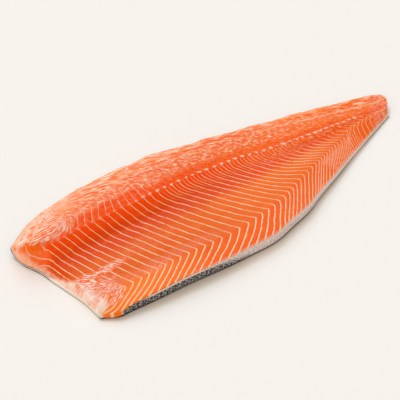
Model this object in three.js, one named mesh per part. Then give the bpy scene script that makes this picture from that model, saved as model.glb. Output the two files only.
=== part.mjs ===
// A raw salmon fillet: one whole side of the fish, boned and with its skin on, lying skin down.
// Two pieces: the flesh, and the thin skin that lies under it and turns up round both long edges.
//
// Millimetres. +X runs from the head cut to the tail, +Y to the fish's back, +Z up.
// The origin is the middle of the footprint, on the surface that the fillet lies on.
//
// The flesh's top is drawn over seven rails, lines that run from the head cut to the tail cut. The
// net laid over them isn't square: each second line of it follows a septum, the sheet of fat between
// two muscle blocks, so that the herringbone of muscle blocks stands up as shallow ridges.

import * as THREE from "three";

// ---------------------------------------------------------------- driving dimensions

const SKIN_THICKNESS = 1.2;
const SKIN_CLEARANCE = 0.35; // between the skin and the flesh on it
const FLESH_OVER_RIM = 0.8; // how far the flesh stands above the skin's rim at the long edges
const SKIN_PAST_HEAD = 1.0; // how far the skin reaches past the flesh at the head cut
const SKIN_PAST_TAIL = 4.0; // and at the tail, where it is left as a small flap

// Where along its length a rail has its sizes, from 0 at the head cut to 1 at the tail.
const STATIONS = [0, 0.08, 0.2, 0.35, 0.5, 0.65, 0.8, 0.92, 1];

// The rails in order, from the back of the fish to its belly. share: how far across the net the
// rail lies. head, tail: x of its ends. across: y at the stations. height: z at the stations.
const RAILS = [
  {
    name: "back edge", share: 0, head: -18, tail: 617,
    across: [80, 109, 119.5, 118, 103, 86, 68, 48, 35],
    height: [13, 13, 13, 13, 12, 11, 10, 8, 7],
  },
  {
    name: "shoulder", share: 0.08, head: -12, tail: 617,
    across: [64, 94, 107, 106, 92, 76, 60, 42, 30],
    height: [26, 29, 30, 30, 27, 22, 17, 12, 9],
  },
  {
    name: "loin", share: 0.25, head: -2, tail: 614,
    across: [47, 62, 72, 76, 69, 55, 39, 25, 20],
    height: [34, 36, 37, 36.5, 32, 26, 19, 13, 10],
  },
  {
    name: "midline", share: 0.4, head: 12, tail: 606,
    across: [36, 38.5, 38.3, 38, 31.5, 17.5, 10, 6.5, 7],
    height: [29, 30, 30, 28, 25, 21, 16, 11, 9],
  },
  {
    name: "belly hollow", share: 0.55, head: 12, tail: 602,
    across: [8, 8, 8, 6, 2, -3, -3, 2, 3],
    height: [16, 16, 16, 16, 16, 15, 12, 10, 8],
  },
  {
    name: "chevron points", share: 0.82, head: 12, tail: 596,
    across: [-72, -72, -72, -78, -69.5, -44, -20, -6, -2],
    height: [11, 14, 15, 14.5, 14, 13, 11, 9, 8],
  },
  {
    name: "belly edge", share: 1, head: 9, tail: 592,
    across: [-84, -97.5, -106.5, -114, -108.5, -80.5, -49, -24.5, -9],
    height: [4, 11, 14, 15, 12, 10, 8, 7, 6],
  },
];
const BACK = 0;
const SHOULDER = 1;
const LOIN = 2;
const MIDLINE = 3;
const BELLY = 6;

// How far in from each long edge the skin comes down to the table, at the stations.
const BACK_TURN = [16, 20, 24, 24, 22, 18, 13, 9, 7];
const BELLY_TURN = [3, 4, 5, 6, 6, 5, 4.5, 4, 3];

// The cuts' feet, on the table, as y and x. The head cut slopes: its foot is further forward.
const HEAD_CUT_ACROSS = [-84, -60, -26, 5, 25, 56, 80];
const HEAD_CUT_ALONG = [9, 9, 4, 0, -2, -14, -18];
const TAIL_CUT_ACROSS = [-9, 0, 10, 20, 35];
const TAIL_CUT_ALONG = [596, 607, 611, 614, 617];

// Septa are numbered from the head, and more of them reach past both ends at the edges.
const SEPTUM_NUMBERS = [-4, 0, 4, 8, 15, 30, 45, 58];
const SEPTA_ON_MIDLINE = [-33, 7.7, 49, 93.5, 175, 354, 524, 668];

// How far tailward of its point on the midline a septum crosses each rail, by x on the midline.
const SHIFT_AT = [0, 60, 100, 140, 200, 250, 300, 350, 400, 450, 500, 550, 600];
const SEPTUM_SHIFTS = [
  [-62, -68, -74, -80, -92, -102, -108, -108, -102, -88, -70, -52, -34],
  [-50, -55, -60, -66, -78, -88, -95, -95, -90, -78, -62, -45, -28],
  [12, 14, 13, 4, -20, -42, -50, -52, -50, -44, -34, -22, -10],
  [0, 0, 0, 0, 0, 0, 0, 0, 0, 0, 0, 0, 0],
  [13, 14, 14.5, 14.5, 19, 20, 14, 11, 8, 5, 3, 1, 0],
  [34, 46, 49, 52, 67, 70, 64, 60, 44, 27, 15, 8, 0],
  [-12, -2, 2, 4, 18, 26, 14, 8, -8, -10, -14, -12, -8],
];

const BLOCK_RELIEF = [0.1, 0.5, 0.5, 0.4, 0.5, 0.7, 0.4]; // of a muscle block over its septa, by rail
const PIN_BONE_NUB = 0.8; // height of the knot of fat where each septum meets the midline
const LAST_PIN_BONE = 540; // x past which there are none
const KNIFE_WAVER = 0.8; // unevenness of the trimmed shoulder

// How fine the nets are.
const ROWS_BETWEEN_RAILS = [4, 5, 5, 4, 6, 4];
const TURN_ROWS = 4;
const FLAT_ROWS = 5;
const SKIN_COLUMNS = 60;
const CROWDED_STEP = 0.0012; // share of the length between the columns that crowd at the ends

const FLESH_COLOUR = 0xf07040;
const SKIN_COLOUR = 0x77797c;

// ---------------------------------------------------------------- curves

/** A smooth curve through points that never overshoots them (monotone cubic). */
function curveThrough(xs, ys) {
  const last = xs.length - 1;
  const slopes = [];
  for (let i = 0; i < last; i++) slopes.push((ys[i + 1] - ys[i]) / (xs[i + 1] - xs[i]));
  const tangents = [slopes[0]];
  for (let i = 1; i < last; i++) {
    const before = xs[i] - xs[i - 1];
    const after = xs[i + 1] - xs[i];
    const a = 2 * after + before;
    const b = after + 2 * before;
    const turns = slopes[i - 1] * slopes[i] <= 0;
    tangents.push(turns ? 0 : (a + b) / (a / slopes[i - 1] + b / slopes[i]));
  }
  tangents.push(slopes[last - 1]);
  return (x) => {
    let i = 0;
    while (i < last - 1 && x > xs[i + 1]) i++;
    const h = xs[i + 1] - xs[i];
    const t = THREE.MathUtils.clamp((x - xs[i]) / h, 0, 1);
    const s = 1 - t;
    const start = s * s * ((1 + 2 * t) * ys[i] + t * h * tangents[i]);
    const end = t * t * ((3 - 2 * t) * ys[i + 1] - s * h * tangents[i + 1]);
    return start + end;
  };
}

const railShares = RAILS.map((rail) => rail.share);
const railAcross = RAILS.map((rail) => curveThrough(STATIONS, rail.across));
const railHeight = RAILS.map((rail) => curveThrough(STATIONS, rail.height));
const railShift = SEPTUM_SHIFTS.map((shifts) => curveThrough(SHIFT_AT, shifts));
const headEdge = curveThrough(railShares, RAILS.map((rail) => rail.head));
const tailEdge = curveThrough(railShares, RAILS.map((rail) => rail.tail));
const reliefAt = curveThrough(railShares, BLOCK_RELIEF);
const backTurn = curveThrough(STATIONS, BACK_TURN);
const bellyTurn = curveThrough(STATIONS, BELLY_TURN);
const headCut = curveThrough(HEAD_CUT_ACROSS, HEAD_CUT_ALONG);
const tailCut = curveThrough(TAIL_CUT_ACROSS, TAIL_CUT_ALONG);
const septumOnMidline = curveThrough(SEPTUM_NUMBERS, SEPTA_ON_MIDLINE);

// ---------------------------------------------------------------- the flesh's top

// The rows of the net, as shares of the way across: one on each rail, and more between.
const topShares = [0];
ROWS_BETWEEN_RAILS.forEach((rows, rail) => {
  for (let row = 1; row <= rows; row++) {
    topShares.push(THREE.MathUtils.lerp(railShares[rail], railShares[rail + 1], row / rows));
  }
});

/** How far tailward a septum has run at a share of the way across; it turns sharply at the rails. */
function septumShift(onMidline, share) {
  let rail = 0;
  while (rail < RAILS.length - 2 && share > railShares[rail + 1]) rail++;
  const across = (share - railShares[rail]) / (railShares[rail + 1] - railShares[rail]);
  return THREE.MathUtils.lerp(railShift[rail](onMidline), railShift[rail + 1](onMidline), across);
}

/** The point of the top at a share of the length and a share of the way across. */
function topPoint(along, share) {
  const across = curveThrough(railShares, railAcross.map((curve) => curve(along)));
  const height = curveThrough(railShares, railHeight.map((curve) => curve(along)));
  const x = THREE.MathUtils.lerp(headEdge(share), tailEdge(share), along);
  const fromMiddle = 2 * share - 1;
  const inset = (SKIN_THICKNESS + SKIN_CLEARANCE) * fromMiddle ** 5;
  const onShoulder = Math.min(share / railShares[SHOULDER], 1) * Math.max(0, 1 - share / railShares[LOIN]);
  const waver = KNIFE_WAVER * onShoulder * (Math.sin(x / 17) + 0.6 * Math.sin(x / 7.3 + 1));
  return new THREE.Vector3(x, across(share) + inset + waver, height(share) + FLESH_OVER_RIM + waver);
}

/** Keeps a column in its place in the crowd where its septum runs past an end of the fillet. */
function keepInside(along, column, columns) {
  const fewest = CROWDED_STEP * column;
  const most = 1 - CROWDED_STEP * (columns - 1 - column);
  return THREE.MathUtils.clamp(along, fewest, most);
}

/** Where a column of the net lies at each row, as shares of the fillet's length there. */
function columnPlaces(number) {
  const onMidline = septumOnMidline(number);
  return topShares.map((share) => {
    const x = onMidline + septumShift(onMidline, share);
    return (x - headEdge(share)) / (tailEdge(share) - headEdge(share));
  });
}

// ---------------------------------------------------------------- the underside

const UNDER_ROWS = 2 * TURN_ROWS + FLAT_ROWS;

/**
 * The underside's outline at a share of the length, from the back edge to the belly edge: a quarter
 * of an ellipse down to the table, the flat that lies on it, and another quarter up. inset moves it
 * inwards, to the skin's other face or to the flesh.
 */
function outlinePoint(row, along, inset) {
  const fromBelly = row > TURN_ROWS + FLAT_ROWS;
  const rail = fromBelly ? BELLY : BACK;
  const backFoot = railAcross[BACK](along) - backTurn(along);
  const bellyFoot = railAcross[BELLY](along) + bellyTurn(along);
  if (row >= TURN_ROWS && !fromBelly) {
    return { y: THREE.MathUtils.lerp(backFoot, bellyFoot, (row - TURN_ROWS) / FLAT_ROWS), z: inset };
  }
  const turned = fromBelly ? UNDER_ROWS - row : row;
  const angle = (Math.PI / 2) * (turned / TURN_ROWS);
  const height = railHeight[rail](along);
  const z = height - (height - inset) * Math.sin(angle);
  if (fromBelly) return { y: bellyFoot - (bellyTurn(along) - inset) * Math.cos(angle), z };
  return { y: backFoot + (backTurn(along) - inset) * Math.cos(angle), z };
}

/** A point of the underside. headInset and tailInset draw it in from the cuts. */
function underPoint(row, along, inset, headInset = 0, tailInset = 0) {
  const { y, z } = outlinePoint(row, along, inset);
  const head = headCut(outlinePoint(row, 0, inset).y) + headInset;
  const tail = tailCut(outlinePoint(row, 1, inset).y) - tailInset;
  return new THREE.Vector3(THREE.MathUtils.lerp(head, tail, along), y, z);
}

// ---------------------------------------------------------------- solids

/**
 * Triangles between two chains of vertices, for the ends of a solid. Both chains run from the back
 * to the belly, and the one that is behind takes the next step, so the triangles stay upright.
 */
function ribbon(upper, lower, points) {
  const triangles = [];
  let i = 0;
  let j = 0;
  while (i < upper.length - 1 || j < lower.length - 1) {
    const upperLeft = i < upper.length - 1;
    const lowerLeft = j < lower.length - 1;
    const stepUpper = !lowerLeft || (upperLeft && points[upper[i + 1]].y >= points[lower[j + 1]].y);
    const next = stepUpper ? upper[i + 1] : lower[j + 1];
    const corners = [upper[i], next, lower[j]];
    if (new Set(corners).size === 3) triangles.push(corners);
    if (stepUpper) i++;
    else j++;
  }
  return triangles;
}

/**
 * A closed solid from rings of points, one for each column from the head to the tail. A ring runs
 * from the back to the belly along its upper chain, then returns along its lower chain.
 */
function solidFromRings(uppers, lowers) {
  const ringSize = uppers[0].length + lowers[0].length;
  const corner = uppers[0].length - 1;
  const points = uppers.flatMap((upper, column) => [...upper, ...lowers[column]]);
  const index = [];
  for (let column = 0; column < uppers.length - 1; column++) {
    for (let row = 0; row < ringSize; row++) {
      const here = column * ringSize;
      const next = here + ringSize;
      const after = (row + 1) % ringSize;
      index.push(here + row, next + after, next + row);
      index.push(here + row, here + after, next + after);
    }
  }
  for (const column of [0, uppers.length - 1]) {
    const first = column * ringSize;
    const ring = Array.from({ length: ringSize }, (_, row) => first + row);
    const upper = ring.slice(0, corner + 1);
    const lower = [first, ...ring.slice(corner).reverse()];
    for (const [a, b, c] of ribbon(upper, lower, points)) {
      index.push(...(column === 0 ? [a, c, b] : [a, b, c]));
    }
  }
  const geometry = new THREE.BufferGeometry();
  const positions = points.flatMap((point) => point.toArray());
  geometry.setAttribute("position", new THREE.Float32BufferAttribute(positions, 3));
  geometry.setIndex(index);
  geometry.computeVertexNormals();
  return geometry;
}

/** The flesh: muscle blocks and septa above, and below a face that clears the skin. */
function fleshGeometry() {
  const firstSeptum = SEPTUM_NUMBERS[0];
  const lastSeptum = SEPTUM_NUMBERS[SEPTUM_NUMBERS.length - 1];
  const columns = 2 * (lastSeptum - firstSeptum) + 1;
  const inset = SKIN_THICKNESS + SKIN_CLEARANCE;
  const uppers = [];
  const lowers = [];
  for (let column = 0; column < columns; column++) {
    const isSeptum = column % 2 === 0;
    const places = columnPlaces(firstSeptum + column / 2);
    const upper = topShares.map((share, row) => {
      const along = keepInside(places[row], column, columns);
      const point = topPoint(along, share);
      if (along !== places[row]) return point;
      point.z += (isSeptum ? -0.5 : 0.5) * reliefAt(share);
      const atPinBone = isSeptum && share === railShares[MIDLINE] && point.x < LAST_PIN_BONE;
      if (atPinBone) point.z += PIN_BONE_NUB;
      return point;
    });
    const lower = [];
    for (let row = UNDER_ROWS - 1; row > 0; row--) {
      const place = THREE.MathUtils.lerp(places[0], places[places.length - 1], row / UNDER_ROWS);
      const along = keepInside(place, column, columns);
      lower.push(underPoint(row, along, inset, SKIN_PAST_HEAD, SKIN_PAST_TAIL));
    }
    uppers.push(upper);
    lowers.push(lower);
  }
  return solidFromRings(uppers, lowers);
}

/** The skin: a sheet of even thickness, flat under the fillet and turned up at the long edges. */
function skinGeometry() {
  const uppers = [];
  const lowers = [];
  for (let column = 0; column <= SKIN_COLUMNS; column++) {
    const along = column / SKIN_COLUMNS;
    const rows = Array.from({ length: UNDER_ROWS + 1 }, (_, row) => row);
    uppers.push(rows.map((row) => underPoint(row, along, SKIN_THICKNESS)));
    lowers.push(rows.reverse().map((row) => underPoint(row, along, 0)));
  }
  return solidFromRings(uppers, lowers);
}

// ---------------------------------------------------------------- the part

function piece(name, geometry, colour, roughness) {
  const material = new THREE.MeshStandardMaterial({ color: colour, roughness, metalness: 0 });
  const mesh = new THREE.Mesh(geometry, material);
  mesh.name = name;
  return mesh;
}

const flesh = piece("flesh", fleshGeometry(), FLESH_COLOUR, 0.35);
const skin = piece("skin", skinGeometry(), SKIN_COLOUR, 0.4);

const part = new THREE.Group();
part.name = "salmon_fillet";
part.add(flesh, skin);

// Bring the middle of the footprint to the origin.
const bounds = new THREE.Box3().setFromObject(part);
const middle = bounds.getCenter(new THREE.Vector3());
for (const mesh of part.children) mesh.geometry.translate(-middle.x, -middle.y, -bounds.min.z);

export default part;
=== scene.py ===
"""A raw salmon fillet, skin down: its looks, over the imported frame.

Two pieces stand for the two nodes of the frame: the flesh and the skin. Both are fine nets over the
same rails as the part's solids. What each point of a net is like, such as which muscle block it is
in, is worked out with numpy and kept in the mesh as attributes, and the node materials paint by them.

Sizes are in millimetres and in the fillet's own axes, x from the head cut to the tail and y to the
fish's back, until to_frame() turns them into metres in the frame.
"""

import math

import bpy
import numpy as np
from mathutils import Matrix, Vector


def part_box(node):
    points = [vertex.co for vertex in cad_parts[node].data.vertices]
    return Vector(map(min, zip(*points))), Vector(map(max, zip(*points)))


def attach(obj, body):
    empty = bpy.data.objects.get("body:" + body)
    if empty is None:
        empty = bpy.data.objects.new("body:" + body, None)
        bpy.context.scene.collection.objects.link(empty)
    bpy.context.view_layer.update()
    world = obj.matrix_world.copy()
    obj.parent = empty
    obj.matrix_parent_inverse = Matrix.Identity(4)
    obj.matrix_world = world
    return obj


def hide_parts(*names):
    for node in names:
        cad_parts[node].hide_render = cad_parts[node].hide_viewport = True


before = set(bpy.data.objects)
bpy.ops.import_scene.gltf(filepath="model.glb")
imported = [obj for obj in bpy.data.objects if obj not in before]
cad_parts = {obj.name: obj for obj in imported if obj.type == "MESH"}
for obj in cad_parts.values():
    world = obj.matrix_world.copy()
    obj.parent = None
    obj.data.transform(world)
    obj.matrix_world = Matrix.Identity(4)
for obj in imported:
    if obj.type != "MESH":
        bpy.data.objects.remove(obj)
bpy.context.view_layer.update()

# ---- sizes

SKIN_THICKNESS = 1.2
SKIN_CLEARANCE = 0.35  # between the skin and the flesh
FLESH_OVER_RIM = 0.8  # how far the flesh stands above the skin's rims
SKIN_PAST_HEAD = 0.8
SKIN_PAST_TAIL = 4.0
FLESH_INSET = SKIN_THICKNESS + SKIN_CLEARANCE

# The rails that the flesh's top runs over, as in the part: from the back of the fish to its belly.
STATIONS = (0, 0.08, 0.2, 0.35, 0.5, 0.65, 0.8, 0.92, 1)
BACK, SHOULDER, LOIN, MIDLINE, HOLLOW, CHEVRONS, BELLY = range(7)
SHARES = (0, 0.08, 0.25, 0.4, 0.55, 0.82, 1)
HEAD_ENDS = (-18, -12, -2, 12, 12, 12, 9)
TAIL_ENDS = (617, 619, 618, 609, 603, 597, 593)
ACROSS = (
    (80, 109, 119.5, 118, 103, 86, 68, 48, 35),
    (64, 94, 107, 106, 92, 76, 60, 42, 30),
    (47, 62, 72, 76, 69, 55, 39, 25, 20),
    (36, 38.5, 38.3, 38, 31.5, 17.5, 10, 6.5, 7),
    (8, 8, 8, 6, 2, -3, -3, 2, 3),
    (-72, -72, -72, -78, -69.5, -44, -20, -6, -2),
    (-84, -101, -108.5, -115.5, -106, -81.5, -50, -26, -10.5),
)
HEIGHTS = (
    (13, 13, 13, 13, 12, 11, 10, 8, 7),
    (26, 29, 30, 30, 27, 22, 17, 12, 9),
    (34, 36, 37, 36.5, 32, 26, 19, 13, 10),
    (29, 30, 30, 28, 25, 21, 16, 11, 9),
    (16, 16, 16, 16, 16, 15, 12, 10, 8),
    (11, 14, 15, 14.5, 14, 13, 11, 9, 8),
    (4, 13, 17, 16.5, 15.5, 11, 7, 4.5, 3.5),
)
BACK_TURN = (16, 20, 24, 24, 22, 18, 13, 9, 7)
BELLY_TURN = (0.6, 1.2, 3, 1.5, 0.5, 1.5, 3, 3, 2)
# Bulges of the belly's edge: the share of the length, the size in mm and the reach as a share.
BELLY_BULGES = ((0.032, 6, 0.026), (0.445, 5.5, 0.06), (0.56, 3, 0.05))
# The cuts' feet, as y and x.
HEAD_CUT = ((-84, -60, -26, 5, 25, 56, 80), (9, 8.5, 3, -3, -6.5, -16.5, -18))
TAIL_CUT = ((-9, 0, 10, 20, 35), (596, 607, 611, 614, 617))
KNIFE_WAVER = 0.8  # how far the knife wavered along the shoulder
KNIFE_WAVES = ((1, 17, 0), (0.6, 7.3, 1))  # strength, mm per radian, phase
# Bumps along the shoulder: x, size and reach.
SHOULDER_BUMPS = ((167, 3.0, 15), (214, 3.0, 14), (308, 2.2, 16), (394, 2.6, 14), (590, 2.6, 22))

# Septa, the sheets of fat between muscle blocks, by number from the head.
SEPTUM_NUMBERS = (-4, 0, 4, 8, 15, 30, 45, 58)
SEPTA_ON_MIDLINE = (-33, 7.7, 49, 93.5, 175, 354, 524, 668)  # where they cross the midline, as x
SPACING_PAST_ENDS = (10, 11)  # mm between septa before the first of these and past the last
MIDLINE_PAST_ENDS = (40, 60)  # how far the midline is worked out past the first and the last
MIDLINE_POINTS = 400
# How far tailward a septum has run at each rail, by where it crosses the midline.
SHIFT_AT = (0, 60, 100, 140, 200, 250, 300, 350, 400, 450, 500, 550, 600)
SEPTUM_SHIFTS = (
    (-62, -68, -74, -80, -92, -102, -108, -108, -102, -88, -70, -52, -34),
    (-50, -55, -60, -66, -78, -88, -95, -95, -90, -78, -62, -45, -28),
    (12, 14, 13, 4, -20, -42, -50, -52, -50, -44, -34, -22, -10),
    (0, 0, 0, 0, 0, 0, 0, 0, 0, 0, 0, 0, 0),
    (13, 14, 14.5, 14.5, 19, 20, 14, 11, 8, 5, 3, 1, 0),
    (34, 46, 49, 52, 67, 70, 64, 60, 44, 27, 15, 8, 0),
    (-12, -2, 2, 4, 18, 26, 14, 8, -8, -10, -14, -12, -8),
)
# How much the septa bend headwards in the hollow, by where they cross the midline.
HOLLOW_BEND = ((140, 200, 300, 400, 480), (0, 8, 8, 5, 0))
TAIL_CHEVRONS = 0.68  # the share of the way across at which the chevrons' points are near the tail
CHEVRONS_RISE = (478, 500)  # where on the midline they rise to it
POINTS_FROM = (0.7, 0.76)  # the share of the way across from which the points are rounded
POINTS_PASSES = 14
POINTS_SHARPNESS = 0.15  # how much of the rounding the points towards the head get
POINTS_BLUNT_FROM = (270, 340)  # x from which they get all of it

# How fine the nets are.
COLUMNS = 540
ROWS = 150
HEAD_CUT_COLUMNS = 22
TAIL_CUT_COLUMNS = 6
HEAD_EDGE_ROUNDING = (5, 4)  # columns to each side, and passes
TAIL_EDGE_ROUNDING = (4, 4)
LIP_REACH = 0.9  # how far the flesh's edge lies out over the skin's rim
LIP_DROP = 0.72
LIP_STEP = 0.2  # between the belly lip's rows
CORNER = (48, 22)  # x over which the lip grows into a wall, at the head's belly corner
CORNER_REACH = 1.0
CORNER_MIDDLE = 0.6  # how far down the wall its middle row is, as a share
CORNER_FOOT = 2.2
HEAD_SKIN_LIFT = 0.7  # how much thicker the skin's cut edge is at the head
HEAD_SKIN_LIFTED = 0.015  # the share of the length over which it is
HEAD_FOOT_GAP = 0.1  # between that edge and the flesh above it
LEAST_BELLY_TURN = 0.5
UNDER_COLUMNS = 140
UNDER_COUNTS = (4, 14, 4)  # rows of the flesh's underside: at the back, the flat and the belly
UNDER_SET_BACK = 2.5  # how far the flesh's underside stays back from the cut ends
BACK_TURN_ROWS = 22
FLAT_ROWS = 26
BELLY_TURN_ROWS = 14

# ---- camera

CAMERA_AZIMUTH = math.radians(-38.58)
CAMERA_ELEVATION = math.radians(40)
CAMERA_DISTANCE = 1.3045
CAMERA_LENS = 85
CAMERA_SENSOR = 36
CAMERA_NEAR = 0.01  # m, nearer than which it sees nothing
CAMERA_TARGET = (241.4, 14.0)  # on the floor, in the fillet's own axes

# ---- curves and noise


def curve(xs, ys, x):
    """Monotone cubic curve through ys at xs, read at x. ys may have more axes after its first."""
    xs = np.asarray(xs, float)
    ys = np.asarray(ys, float)
    x = np.asarray(x, float)
    gap = np.diff(xs).reshape((-1,) + (1,) * (ys.ndim - 1))
    slope = np.diff(ys, axis=0) / gap
    tangent = np.zeros_like(ys)
    tangent[0] = slope[0]
    tangent[-1] = slope[-1]
    a = 2 * gap[1:] + gap[:-1]
    b = gap[1:] + 2 * gap[:-1]
    keeps_on = slope[:-1] * slope[1:] > 0
    before = np.where(keeps_on, slope[:-1], 1)
    after = np.where(keeps_on, slope[1:], 1)
    tangent[1:-1] = np.where(keeps_on, (a + b) / (a / before + b / after), 0)
    i = np.clip(np.searchsorted(xs, x) - 1, 0, len(xs) - 2)
    extra = (1,) * (ys.ndim - 1)
    h = (xs[i + 1] - xs[i]).reshape(x.shape + extra)
    t = np.clip((x - xs[i]) / (xs[i + 1] - xs[i]), 0, 1).reshape(x.shape + extra)
    s = 1 - t
    start = s * s * ((1 + 2 * t) * ys[i] + t * h * tangent[i])
    end = t * t * ((3 - 2 * t) * ys[i + 1] - s * h * tangent[i + 1])
    return start + end


def rise(value, low, high):
    """0 below low and 1 above high, smooth between. With low above high it falls instead."""
    t = np.clip((value - low) / (high - low), 0, 1)
    return t * t * (3 - 2 * t)


def hill(value, low, top_low, top_high, high):
    """0 outside low to high, 1 between top_low and top_high."""
    return rise(value, low, top_low) * rise(value, high, top_high)


def within(value, edges):
    """rise() for two edges and hill() for four."""
    return rise(value, *edges) if len(edges) == 2 else hill(value, *edges)


def bumps(value, places):
    """Bell-shaped bumps, each with its middle, size and reach."""
    return sum(size * np.exp(-((value - middle) / reach) ** 2) for middle, size, reach in places)


def noise(x, y, seed):
    """Smooth noise from -1 to 1 whose features are about one unit across."""
    size = 256
    table = np.random.default_rng(seed).uniform(-1, 1, (size, size))
    column = np.floor(x).astype(int)
    row = np.floor(y).astype(int)
    u = rise(x - column, 0, 1)
    v = rise(y - row, 0, 1)

    def corner(right, up):
        return table[(column + right) % size, (row + up) % size]

    low = corner(0, 0) * (1 - u) + corner(1, 0) * u
    high = corner(0, 1) * (1 - u) + corner(1, 1) * u
    return low * (1 - v) + high * v


def layered(x, y, layers):
    """Noise in layers, each with its strength, its sizes in x and y, and its seed."""
    return sum(strength * noise(x / long, y / wide, seed) for strength, long, wide, seed in layers)


def wander(value, strength, long, row, seed):
    """Noise along a line."""
    return strength * noise(value / long, np.full_like(value, row), seed)


def to_frame(points):
    """Points in millimetres in the fillet's axes, as metres in the frame."""
    low = np.array((min(HEAD_ENDS), min(ACROSS[BELLY]), 0))
    return (points - low) / 1000 + np.array(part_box("skin")[0])


# ---- the rails' surface


def belly_edge(along):
    """y of the belly's edge."""
    return curve(STATIONS, ACROSS[BELLY], along) - bumps(along, BELLY_BULGES)


def top_surface(along, share):
    """The flesh's top at shares of the length (columns) and shares of the way across (rows)."""
    rails = curve(STATIONS, np.transpose(ACROSS), along).T
    rails[BELLY] = belly_edge(along)
    across = curve(SHARES, rails, share)
    height = curve(SHARES, curve(STATIONS, np.transpose(HEIGHTS), along).T, share)
    head = curve(SHARES, HEAD_ENDS, share)[:, None]
    tail = curve(SHARES, TAIL_ENDS, share)[:, None]
    x = head + (tail - head) * along
    share = share[:, None]
    on_shoulder = np.minimum(share / SHARES[SHOULDER], 1) * np.maximum(0, 1 - share / SHARES[LOIN])
    waver = KNIFE_WAVER * sum(size * np.sin(x / long + phase) for size, long, phase in KNIFE_WAVES)
    waver = (waver + bumps(x, SHOULDER_BUMPS)) * on_shoulder
    inset = FLESH_INSET * (2 * share - 1) ** 5  # inwards at both rims, and next to nothing between
    y = across + inset + waver
    return np.stack((x, y, height + FLESH_OVER_RIM + waver), axis=-1)


def septum_shift(on_midline, share):
    """How far tailward a septum has run. It bends smoothly, but for sharp turns at two rails."""
    shifts = curve(SHIFT_AT, np.transpose(SEPTUM_SHIFTS), on_midline)
    if share < SHARES[MIDLINE]:
        knots = slice(BACK, MIDLINE + 1)
    elif share < SHARES[CHEVRONS]:
        knots = slice(MIDLINE, CHEVRONS + 1)
    else:
        knots = slice(CHEVRONS, BELLY + 1)
    bent = curve(SHARES[knots], shifts.T[knots], np.array([share]))[0]
    down_hollow = np.clip((share - SHARES[MIDLINE]) / (SHARES[HOLLOW] - SHARES[MIDLINE]), 0, 1)
    return bent - curve(*HOLLOW_BEND, on_midline) * math.sin(math.pi * down_hollow) * (1 - down_hollow)


def nearer_midline(share):
    """The share whose septa show at this share near the tail, where the chevrons' points rise."""
    near_tail = (0, SHARES[MIDLINE], TAIL_CHEVRONS, 1)
    return float(np.interp(share, near_tail, (0, SHARES[MIDLINE], SHARES[CHEVRONS], 1)))


def septa(x, share):
    """The septum number at each point of the top. Whole numbers are the septa themselves."""
    first, last = SEPTA_ON_MIDLINE[0], SEPTA_ON_MIDLINE[-1]
    on_midline = np.linspace(first - MIDLINE_PAST_ENDS[0], last + MIDLINE_PAST_ENDS[1], MIDLINE_POINTS)
    before = (on_midline - first) / SPACING_PAST_ENDS[0] + SEPTUM_NUMBERS[0]
    after = (on_midline - last) / SPACING_PAST_ENDS[1] + SEPTUM_NUMBERS[-1]
    inside = curve(SEPTA_ON_MIDLINE, SEPTUM_NUMBERS, on_midline)
    number = np.where(on_midline < first, before, inside)
    number = np.where(on_midline > last, after, number)
    at_tail = rise(on_midline, *CHEVRONS_RISE)
    rows = []
    for row, at in enumerate(share):
        shift = septum_shift(on_midline, at)
        shift = shift + (septum_shift(on_midline, nearer_midline(at)) - shift) * at_tail
        rows.append(np.interp(x[row], on_midline + shift, number))
    return rounded_points(np.array(rows), x, share)


def rounded_points(number, x, share):
    """Rounds the chevrons' points, which are sharp towards the head and blunter to the tail."""
    blunt = number.copy()
    for _ in range(POINTS_PASSES):
        blunt[1:-1] = (blunt[:-2] + 2 * blunt[1:-1] + blunt[2:]) / 4
    near_points = rise(share, *POINTS_FROM)[:, None]
    rounding = POINTS_SHARPNESS + (1 - POINTS_SHARPNESS) * rise(x, *POINTS_BLUNT_FROM)
    return number + (blunt - number) * near_points * rounding


def under_outline(along, part, turned, inset):
    """y and z of the underside. part is BACK, BELLY or None for the flat between the two turns.

    turned goes from 0 at the rim to 1 at the table, or on the flat from the back to the belly.
    """
    back_turn, belly_turn = curve(STATIONS, BACK_TURN, along), curve(STATIONS, BELLY_TURN, along)
    back_foot = curve(STATIONS, ACROSS[BACK], along) - back_turn
    belly_foot = belly_edge(along) + belly_turn
    if part is None:
        return back_foot + (belly_foot - back_foot) * turned, np.full_like(back_foot, inset)
    angle = math.pi / 2 * turned
    height = curve(STATIONS, HEIGHTS[part], along)
    z = height - (height - inset) * math.sin(angle)
    if part == BACK:
        return back_foot + (back_turn - inset) * math.cos(angle), z
    return belly_foot - (belly_turn - inset) * math.cos(angle), z


def under_row(along, part, turned, inset, head_inset=0, tail_inset=0):
    """A row of points of the underside, from the head cut to the tail."""
    y, z = under_outline(along, part, turned, inset)
    at_ends, _ = under_outline(np.array((0.0, 1.0)), part, turned, inset)
    head = curve(*HEAD_CUT, at_ends[0]) + head_inset
    tail = curve(*TAIL_CUT, at_ends[1]) - tail_inset
    return np.stack((head + (tail - head) * along, y, z), axis=-1)


def under_rows(along, inset, counts, **insets):
    """All rows of the underside from the back's rim to the belly's, with counts in each stretch."""
    back, flat, belly = counts
    rows = [under_row(along, BACK, i / back, inset, **insets) for i in range(back)]
    rows += [under_row(along, None, i / flat, inset, **insets) for i in range(flat)]
    rows += [under_row(along, BELLY, 1 - i / belly, inset, **insets) for i in range(belly + 1)]
    return np.array(rows)


# ---- meshes


def net_faces(rows, columns, first=0, flip=False):
    """The quads of a net of rows by columns points whose first point has the index first."""
    index = first + np.arange(rows * columns).reshape(rows, columns)
    a, b = index[:-1, :-1].ravel(), index[:-1, 1:].ravel()
    c, d = index[1:, 1:].ravel(), index[1:, :-1].ravel()
    return np.stack((a, b, c, d) if flip else (a, d, c, b), axis=-1)


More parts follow.
